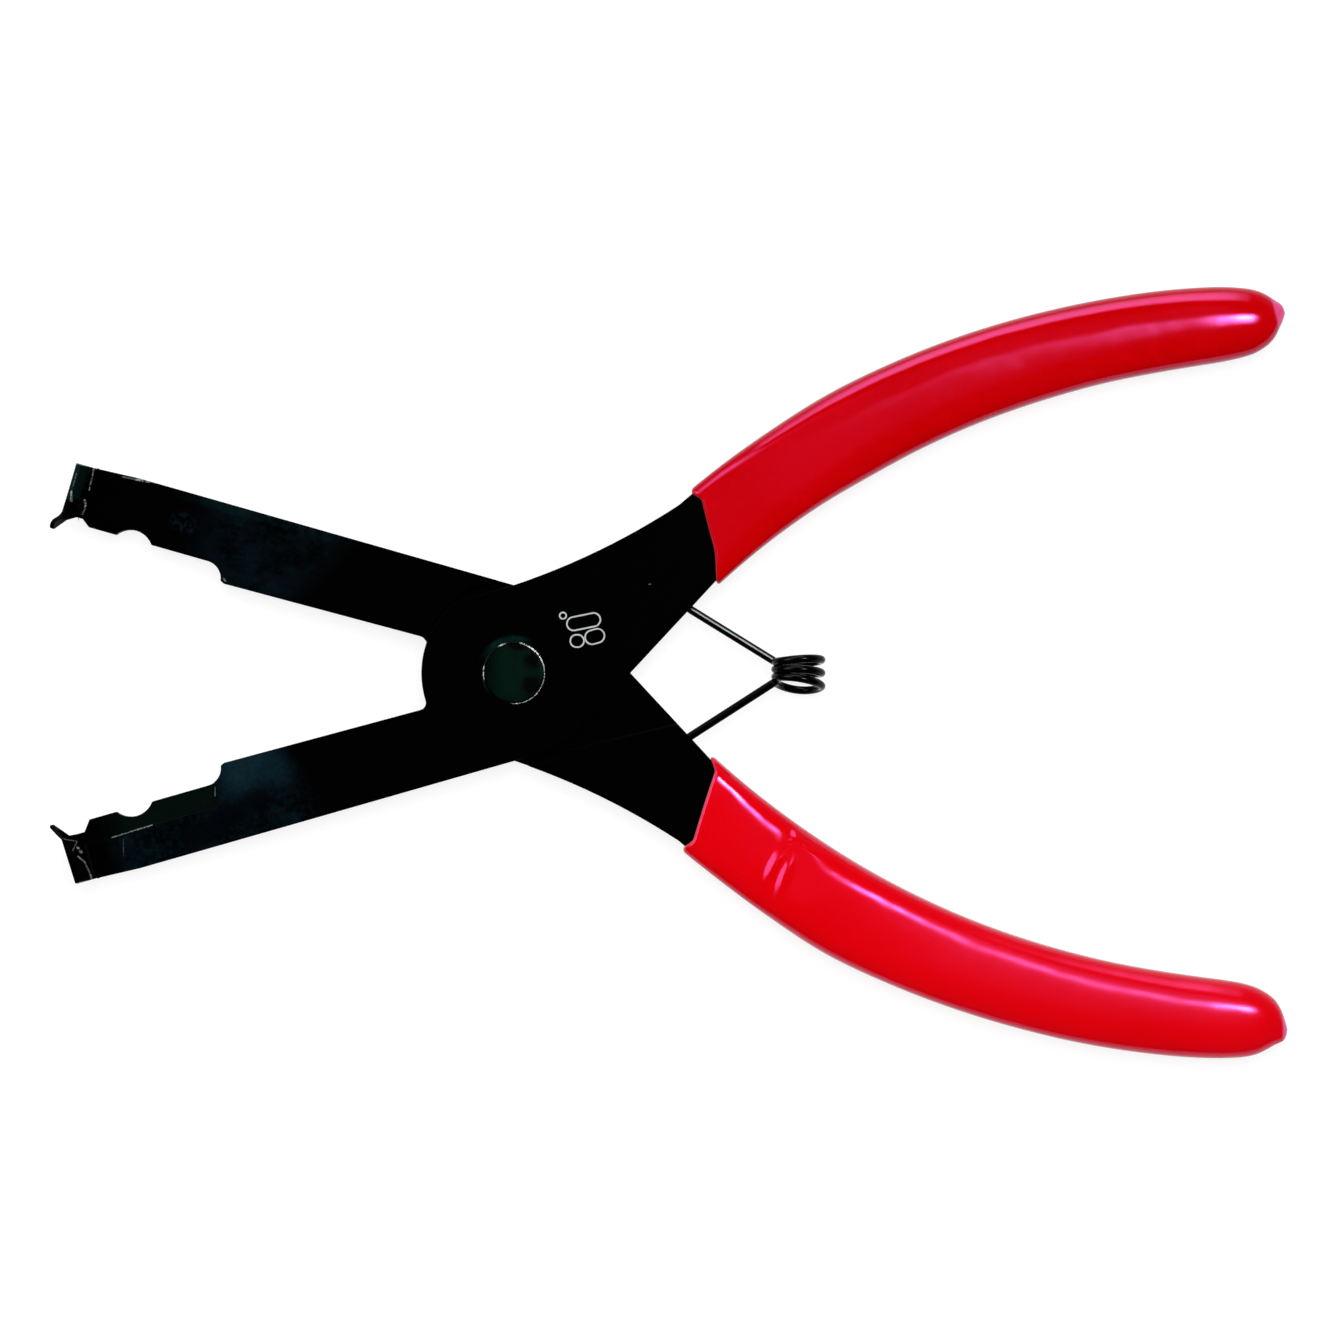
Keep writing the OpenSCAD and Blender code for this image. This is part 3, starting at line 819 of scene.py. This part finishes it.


# %% The upper jaw's lever
# Each fleck is a line from (x, y) to (x, y), its half width in mm, its strength.
# Some are bare steel on knocked edges, some are painted highlights on edges and bends.
upper_flecks = [
    (-71.0, 35.6, -68.6, 35.15, 0.2, 0.25),
    (-68.6, 35.15, -66.2, 34.75, 0.3, 0.7),
    (-66.2, 34.75, -64.4, 34.45, 0.18, 0.35),
    (-76.2, 37.3, -77.1, 33.2, 0.16, 0.4),
    (-75.9, 37.6, -76.3, 37.0, 0.3, 0.25),
    (-77.9, 31.3, -77.9, 29.9, 0.26, 1.0),
    (-78.0, 29.7, -78.5, 28.8, 0.16, 0.45),
    (-52.7, 17.1, -52.3, 16.7, 0.2, 0.4),
    (-79.5, 32.7, -79.6, 31.0, 0.22, 0.8),
    (-78.6, 36.0, -79.4, 33.0, 0.12, 0.25),
]


def upper_jaw_look(place):
    """A painted blue sheen on the ground part, a painted highlight on its edge, the
    tip's lit face painted green, and the flecks.
    """
    along, outward = jaw_place(place, 15.9, 1)
    cloud = place.noise(160, 5.0, 0.65)
    fine = place.noise(1300, 3.0, 0.6)
    ground = (along + outward * 0.45).ramp(39.5, 48.5)
    mottle = cloud.ramp(0.36, 0.66) * 0.7 + fine.ramp(0.4, 0.7) * 0.45
    # painted sheen: a blue reflection painted on the ground part, fading towards the
    # tip
    deep = along.ramp(67, 55) * ground * mottle
    tone = deep.mix(black, (0.0011, 0.0052, 0.0078))
    # painted highlight: a teal line along the outer edge of the ground part
    rim = outward.ramp(13.4, 14.2) * ground * along.ramp(70, 60)
    tone = (rim * mottle * 0.6).mix(tone, (0.0015, 0.011, 0.012))
    # a teal patch, partly wear and partly painted sheen
    wear_and_glint = scratch(flat_mm(place), -60.4, 27.5, -59.0, 27.0, 2.6)
    wear_and_glint = wear_and_glint * fine.ramp(0.42, 0.75)
    tone = (wear_and_glint * 0.5).mix(tone, (0.003, 0.017, 0.027))
    # painted light: the lit face of the bent tip is painted green
    tip = bent_up(place) * place.part(1).ramp(0.0309, 0.0318)
    tone = (tip * (0.5 + fine * 0.7)).mix(tone, (0.0018, 0.0135, 0.012))
    # flecks: partly bare steel, partly painted highlights
    marks = scratches_and_glints(place, upper_flecks)
    return {
        "Base Color": marks.mix(tone, bare_and_glint),
        "Roughness": 0.18 + cloud * 0.06 + marks * 0.25,
        "Normal": stamped_grain(place),
    }


upper_jaw.data.materials.append(
    finish("black_steel_upper_jaw", steel_constants, upper_jaw_look)
)

# %% [markdown]
# The upper handle's lever also carries a plain number, the angle of the tips
# in degrees. Each of its strokes is a ring about a short line: it is where the
# distance from that line is close to one radius, so a stroke is even all round.

# %% Rings of the number on the upper handle's lever
def ring(flat, x, y, half_line, radius, tilt):
    """1 where | distance from a line through (x, y) - radius | < 0.12 mm."""
    c, s = math.cos(math.radians(tilt)), math.sin(math.radians(tilt))
    dx, dy = half_line * c, half_line * s
    gap = line_gap(flat, x - dx, y - dy, x + dx, y + dy)
    return (gap - radius).work("ABSOLUTE").ramp(0.18, 0.07)


def number_mark(place):
    """Nought, eight and degree ring, read with the handle pointing up."""
    flat = flat_mm(place)
    strokes = [
        ring(flat, 8.89, 10.41, 0.01, 0.58, 0),
        ring(flat, 12.64, 9.3, 1.85, 1.22, 11.5),
        ring(flat, 11.46, 5.82, 0.12, 1.12, 0),
        ring(flat, 14.66, 6.62, 0.5, 1.27, 16),
    ]
    return brightest(strokes) * on_face(place)


def crescent(place):
    """Soft band 5.7 to 6.9 mm from the pivot, on its upper left side."""
    _, _, far, turn = about_pivot(place)
    band = far.ramp(7.1, 6.3) * turn.ramp(0.95, 1.4) * turn.ramp(2.9, 2.0)
    return band * on_face(place)


print("flecks on the upper jaw's lever:", len(upper_flecks))


# %% The lower jaw's lever
lower_flecks = [
    (-73.2, -29.9, -65.7, -27.6, 0.15, 0.6),
    (-70.9, -30.2, -70.9, -33.2, 0.12, 0.12),
    (-54.3, -20.5, -54.3, -22.3, 0.14, 0.3),
    (-80.9, -29.7, -79.1, -30.4, 0.12, 0.4),
    (-79.0, -30.5, -79.3, -32.0, 0.12, 0.4),
    (-78.8, -31.5, -78.7, -31.7, 0.22, 1.0),
    (-78.4, -32.2, -78.3, -32.5, 0.22, 1.0),
    (-78.6, -33.1, -77.7, -34.3, 0.14, 0.7),
    (-77.7, -34.3, -76.9, -36.3, 0.12, 0.5),
    (-76.9, -36.3, -76.4, -37.9, 0.15, 0.7),
    (24.6, 16.1, 24.7, 16.1, 0.2, 0.35),
]


def lower_jaw_look(place):
    """Painted blue and green sheen where ground, a teal crescent by the rivet, flecks
    and the number.

    The steel is rougher along the crease of the bent tip.
    """
    along, outward = jaw_place(place, 16.0, -1)
    flat = flat_mm(place)
    cloud = place.noise(150, 5.0, 0.65)
    fine = place.noise(1300, 4.0, 0.65)
    finer = place.noise(2400, 4.0, 0.7)
    ground = (along + outward * 0.3).ramp(42.5, 49.5) * along.ramp(80.5, 76.5)
    # painted sheen: blue and teal reflection painted on the ground part, brightest near
    # the inner edge
    painted_sheen = ground * (cloud.ramp(0.38, 0.68) * 0.6 + fine.ramp(0.4, 0.75) * 0.7)
    inner = ground * along.ramp(60, 52) * outward.ramp(10.5, 3)
    band = scratch(flat, -58.5, -29.6, -46.1, -23.0, 3.2)
    tone = (painted_sheen * 0.9).mix(black, (0.0014, 0.0085, 0.0125))
    tone = (inner * (cloud * 0.7 + fine * 0.6)).mix(tone, (0.0045, 0.022, 0.033))
    tone = (band * 0.75).mix(tone, (0.0005, 0.0012, 0.002))
    # painted sheen: green painted on the ground step
    green = fine * 0.6 + finer * 0.7 - 0.2
    green = green.mix((0.0004, 0.0016, 0.001), (0.0012, 0.0062, 0.0045))
    step = outward.ramp(8.7, 8.3) * along.ramp(57.5, 58.0)
    tone = step.mix(tone, along.ramp(80.5, 74).mix(black, green))
    tone = bent_up(place).mix(tone, black)
    # a teal crescent beside the rivet
    teal_crescent = crescent(place) * (fine * 1.6 - 0.3)
    tone = teal_crescent.mix(tone, (0.0012, 0.024, 0.018))
    # flecks: partly bare steel, partly painted highlights
    marks = scratches_and_glints(place, lower_flecks)
    tone = marks.mix(tone, bare_and_glint)
    tone = (number_mark(place) * (0.8 + fine * 0.3)).mix(tone, (0.56, 0.6, 0.57))
    crease = scratch(flat, -78.4, -30.6, -76.3, -37.9, 0.9)
    return {
        "Base Color": tone,
        "Roughness": 0.18 + cloud * 0.06 + marks * 0.25 + crease * 0.35,
        "Normal": stamped_grain(place),
    }


lower_jaw.data.materials.append(
    finish("black_steel_lower_jaw", steel_constants, lower_jaw_look)
)

# %% [markdown]
# ## Brushed rivet
# The rivet's face was ground after riveting, so fine lines run one way over
# dark green grey steel. Its rim is bright on one side, partly from wear and
# partly a painted highlight. The lines are a noise that is stretched fifty
# times along Y.

# %% Rivet finish
def patch(x, y, at_x, at_y, size):
    """Soft round patch about a point on the rivet's face, in mm."""
    gap = ((x - at_x) * (x - at_x) + (y - at_y) * (y - at_y)).work("SQRT")
    return gap.ramp(size, size * 0.35)


def rim_wear_and_glint(far, turn, cloud, fine):
    """A bright ring 5.4 to 5.7 mm from the axis, wear and a painted highlight, thick
    only in parts.

    It is a long arc on the right, a short one on the left and a spot on top.
    """
    rim = (far - (5.44 + cloud * 0.24)).work("ABSOLUTE")
    thick = bump_signal(turn, 0.95, 0.4) * 0.13 + fine * 0.1
    arc = turn.ramp(-1.75, -1.5) * turn.ramp(1.42, 1.25)
    right = (thick - rim).ramp(-0.03, 0.05) * arc * (0.55 + fine * 0.9)
    left = turn.work("ABSOLUTE").ramp(2.85, 3.0) * (0.09 - rim).ramp(-0.05, 0.05)
    high = bump_signal(turn, 1.98, 0.08) * (0.16 - rim).ramp(-0.05, 0.05)
    return brightest([right, left * 0.6, high]) * fine.ramp(0.4, 0.56)


def dark_patches(x, y, cloud):
    """Three dark spots, their outlines moved to and fro by a cloudy noise."""
    wavy = (cloud - 0.5) * 3.0
    return brightest([
        patch(x + wavy, y + wavy, 3.3, 2.1, 2.3),
        patch(x + wavy, y - wavy, 3.5, -2.4, 2.8),
        patch((x + 0.4) * 0.5 + wavy * 0.4, y, 0.6, 4.9, 1.3),
    ])


def rivet_look(place):
    """Brushed green grey with dark patches, darker at the rim, with a bright rim of
    wear and painted highlight.
    """
    lines = (place * (1, 0.02, 1)).noise(9000, 3.0, 0.6)
    cloud = place.noise(420, 5.0, 0.65)
    fine = place.noise(2600, 3.0, 0.65)
    x, y, far, turn = about_pivot(place)
    # the bright rim is partly wear and partly a painted highlight
    wear_and_glint = rim_wear_and_glint(far, turn, cloud, fine)
    tone = lines * 0.6 + fine * 0.5
    tone = tone.mix((0.0003, 0.004, 0.0022), (0.0012, 0.0155, 0.009))
    tone = (cloud.ramp(0.4, 0.7) * 0.4).mix(tone, (0.0015, 0.017, 0.012))
    tone = (dark_patches(x, y, cloud) * 0.95).mix(tone, (0.0012, 0.001, 0.0012))
    tone = (x.ramp(-2.0, -5.0) * 0.85).mix(tone, (0.0004, 0.0035, 0.0015))
    tone = far.ramp(4.9, 5.5).mix(tone, (0.0006, 0.0012, 0.001))
    return {
        "Base Color": wear_and_glint.mix(tone, (0.75, 0.8, 0.78)),
        "Metallic": 0.5 - wear_and_glint * 0.5,
        "Roughness": 0.2 + lines * 0.1,
        "Normal": grain(lines, 0.2, 0.00004),
    }


rivet.data.materials.append(
    finish("brushed_rivet", {"Specular IOR Level": 0.06}, rivet_look)
)

# %% [markdown]
# ## Red vinyl
# Dipped vinyl is a deep red with a smooth wet-looking skin. Its highlights are
# rose where they are weak and white where they are strong, which a tint of the
# mirror colour gives. A clear coat would turn them all grey. The skin is not
# perfectly even, so a faint wide noise moves the highlights a little, and past
# the fold it is slightly rougher, more so on the lower grip. The lower grip is
# painted a brighter red than the upper, as painted light, and the pale line on
# the lip is a painted highlight.

# %% Vinyl finish
def vinyl_look(place):
    """Red, painted brighter on the lower grip as painted light, a painted highlight on
    the lip, and a rose drip.
    """
    cloud = place.noise(38, 3.0, 0.5)
    speck = place.noise(520, 2.0, 0.5)
    lower = place.part(1).ramp(0.0, -0.001)
    tone = cloud.mix((0.53, 0.0, 0.0), (0.64, 0.0, 0.0018))
    # painted light: the lower grip gets a brighter red than the upper, the same vinyl
    tone = (lower * 0.8).mix(tone, cloud.mix((0.76, 0.0, 0.0), (0.9, 0.001, 0.006)))
    tone = (speck.ramp(0.52, 0.75) * 0.2).mix(tone, (0.74, 0.001, 0.008))
    lip, cap = stored(place, "lip"), stored(place, "cap")
    # painted highlight: a pale line along the lip, stronger on the lower grip
    tone = (lip * (0.2 + lower * 0.6)).mix(tone, (0.8, 0.2, 0.26))
    tone = (cap * 0.75).mix(tone, (0.95, 0.1, 0.33))
    wide = place.noise(75, 2.0, 0.5) + speck * 0.035
    rougher = place.part(0).ramp(0.05, 0.09) * (0.01 + lower * 0.08)
    return {
        "Base Color": tone,
        "Roughness": 0.05 + cloud * 0.03 + rougher,
        "Normal": grain(wide, 0.35, 0.0006),
    }


vinyl_constants = {
    "Specular IOR Level": 0.6,
    "Specular Tint": (1.0, 0.18, 0.74, 1.0),
}
vinyl = finish("dipped_red_vinyl", vinyl_constants, vinyl_look)
for piece in (upper_grip, lower_grip):
    piece.data.materials.append(vinyl)

# %% [markdown]
# ## Spring wire
# Oiled black spring steel is smoother than the levers, so it shows thin sharp
# highlights. One bright line along the upper leg is a painted highlight.

# %% Wire finish
def wire_look(place):
    """Cloudy black with one painted highlight line on the upper half."""
    cloud = place.noise(900, 3.0, 0.6)
    # painted highlight: one bright line along the upper leg
    drawn = stored(place, "drawn") * place.part(1).ramp(-0.001, 0.001)
    tone = cloud.mix(black, (0.0008, 0.0009, 0.001))
    tone = (drawn * (0.5 + cloud * 0.8)).mix(tone, (0.58, 0.66, 0.63))
    return {
        "Base Color": tone,
        "Roughness": 0.12 + cloud * 0.06,
        "Normal": grain(cloud, 0.08, 0.0001),
    }


wire = finish("oiled_spring_wire", {"Specular IOR Level": 0.07}, wire_look)
for piece in (upper_spring, lower_spring):
    piece.data.materials.append(wire)

# %% [markdown]
# ## White table
# The tool lies on a plain white table. Its surface is grey paint, which takes
# the soft shadow, with a white glow added to it that only the camera and
# mirrors see. White paint alone would need more light on the tool. In mirrors
# the glow fades towards the back and the left, where it would dull the black.

# %% White table
def ray_kinds(signal):
    """1 for rays from the camera, from mirrors and through glass, else 0."""
    first = signal.node("LightPath", {}, {}, "Is Camera Ray")
    path = first.socket.node
    others = ("Is Glossy Ray", "Is Transmission Ray")
    return [first] + [Signal(signal.tree, path.outputs[kind]) for kind in others]


def table_surface():
    """Diffuse 0.26 and a glow of 0.82 times the largest of three shares.

    They are 1 for the camera, 1 through glass, and in mirrors
    (1 - 0.8 back) (1 - 0.7 left).
    """
    material = bpy.data.materials.new("white_table")
    material.use_nodes = True
    material.node_tree.nodes.clear()
    spot = Signal(material.node_tree).node("TexCoord", {}, {}, "Object")
    seen, mirrored, clear = ray_kinds(spot)
    back = spot.part(1).ramp(0.03, 0.2)
    left = spot.part(0).ramp(0.06, -0.04)
    mirrored = mirrored * (1 - back * 0.8) * (1 - left * 0.7)
    shown = brightest([seen, mirrored, clear])
    matt = spot.node("BsdfDiffuse", {}, {"Color": (0.26, 0.26, 0.26)})
    glow = spot.node("Emission", {}, {"Color": (1, 1, 1), "Strength": shown * 0.82})
    both = spot.node("AddShader", {}, {0: matt, 1: glow})
    spot.node("OutputMaterial", {}, {"Surface": both})
    return material


def table_mesh(size=3.0, z=-2.42):
    """Round table top: a disc of radius size in metres at height z in mm."""
    turn = np.linspace(0, 2 * math.pi, 64, endpoint=False)
    rim = size * np.stack([np.cos(turn), np.sin(turn), 0 * turn], axis=-1)
    rim[:, 2] = z * MM
    mesh = bpy.data.meshes.new("table_top")
    mesh.from_pydata(rim, [], [list(range(len(rim)))])
    mesh.materials.append(table_surface())
    return mesh


table = placed("table_top", table_mesh())
print("table at z", round(table.data.vertices[0].co.z / MM, 2), "mm")

# %% [markdown]
# ## Room
# The room is bright near the horizon and dim overhead, because flat black
# steel seen from above mirrors what is above it. What mirrors see is darker
# still, but for two bright panels: one behind the upper handle and one high on
# the jaws' side. They draw the long soft bands on the grips.

# %% Room light
world = bpy.data.worlds.new("studio_room")
bpy.context.scene.world = world
world.use_nodes = True
world.cycles.sampling_method = "NONE"
world.node_tree.nodes.clear()
way = Signal(world.node_tree).node("TexCoord", {}, {}, "Generated")
up = way.part(2)


def window(turn, wide, soft, low, high):
    """Panel about a compass angle, wide and soft in degrees, between heights.

    The sideways part of a direction is its dot product with the panel's own
    level axis, and the panel is where that and the height are both small.
    """
    c, s = math.cos(math.radians(turn)), math.sin(math.radians(turn))
    ahead = way.part(0) * c + way.part(1) * s
    aside = (way.part(1) * c - way.part(0) * s).work("ABSOLUTE")
    inner, outer = (math.sin(math.radians(a)) for a in (wide - soft, wide + soft))
    return (
        aside.ramp(outer, inner)
        * ahead.ramp(0.0, 0.1)
        * up.ramp(low - 0.02, low + 0.02)
        * up.ramp(high + 0.1, high - 0.06)
    )


# %% What the camera, the mirrors and the tool get from the room
seen, mirrored, clear = ray_kinds(way)
seen = seen.work("MAXIMUM", clear)
white = 1 - up.ramp(0.25, 0.8) * 0.97
top_side = window(96, 20, 8, -0.05, 0.6) * (0.3 + up.ramp(0.0, 0.5) * 0.7)
panels = top_side * 6.6 + window(158, 18, 8, 0.42, 0.8) * 7.0
dim = 0.015 + way.part(1).ramp(-0.3, 0.6) * up.ramp(0.6, 0.2) * 0.25
plain = 0.65 - up.ramp(0.1, 0.8) * 0.42
strength = seen * white + mirrored * (dim + panels)
strength = strength + (1 - seen) * (1 - mirrored) * plain
backdrop = way.node("Background", {}, {"Color": (1, 1, 1), "Strength": strength})
way.node("OutputWorld", {}, {"Surface": backdrop})
print("room nodes", len(world.node_tree.nodes))

# %% [markdown]
# ## Lamps
# Two lamps do different work. A wide one overhead gives plain even light and
# shows in no mirror. A long one beyond the grips shows in mirrors only: it
# draws their sharp highlights, bright at one end with a long faint tail.

# %% Soft lamps
lamp_target = Vector((0.06, 0, 0))


def soft_lamp(name, place, size, watts):
    """Rectangular lamp at place in metres, long along X, facing the target.

    Its own axes are level = Y x back, back x level and back, where back runs
    from the target to the lamp.
    """
    lamp = bpy.data.lights.new(name, "AREA")
    lamp.shape = "RECTANGLE"
    lamp.size, lamp.size_y = size
    lamp.energy = watts
    made = placed(name, lamp)
    made.location = place
    back = Vector(place) - lamp_target
    level = Vector((0, 1, 0)).cross(back)
    axes = [level, back.cross(level), back]
    turn = Matrix([axis.normalized() for axis in axes]).transposed()
    made.rotation_euler = turn.to_euler()
    print(name, "distance", round(back.length, 2), "m")
    return made


top_light = soft_lamp("wide_top", (0.05, 0.35, 1.3), (0.9, 0.9), 15.0)
top_light.visible_glossy = False


# %% One shine lamp, bright at one end
def fade_lamp(lamp):
    """Brightness b(u) exp(-((v - 1/2) / 0.214)^2) over the lamp's face.

    u runs along the lamp and v across it, both 0 to 1. b is a bell curve about
    0.55 and a tail of 0.042 that ends at u = 0.
    """
    lamp.data.use_nodes = True
    tree = lamp.data.node_tree
    tree.nodes.clear()
    face = Signal(tree).node("NewGeometry", {}, {}, "Parametric")
    u, v = face.part(0), face.part(1)
    core = bump_signal(u, 0.55, 0.128)
    tail = u.ramp(0.0, 0.35) * u.ramp(0.7, 0.5)
    along = core + tail * (0.3 + tail * 0.7) * 0.042
    shape = along * bump_signal(v, 0.5, 0.214)
    glow = face.node("Emission", {}, {"Color": (1, 1, 1), "Strength": shape})
    face.node("OutputLight", {}, {"Surface": glow})


shine = soft_lamp("shine", (0.38, 0.165, 0.8), (0.8, 0.24), 66.0)
shine.visible_diffuse = False
fade_lamp(shine)

# %% [markdown]
# ## Finish
# The view is left plain, with colours shown as they are written.

# %% View settings
bpy.context.scene.view_settings.view_transform = "Standard"
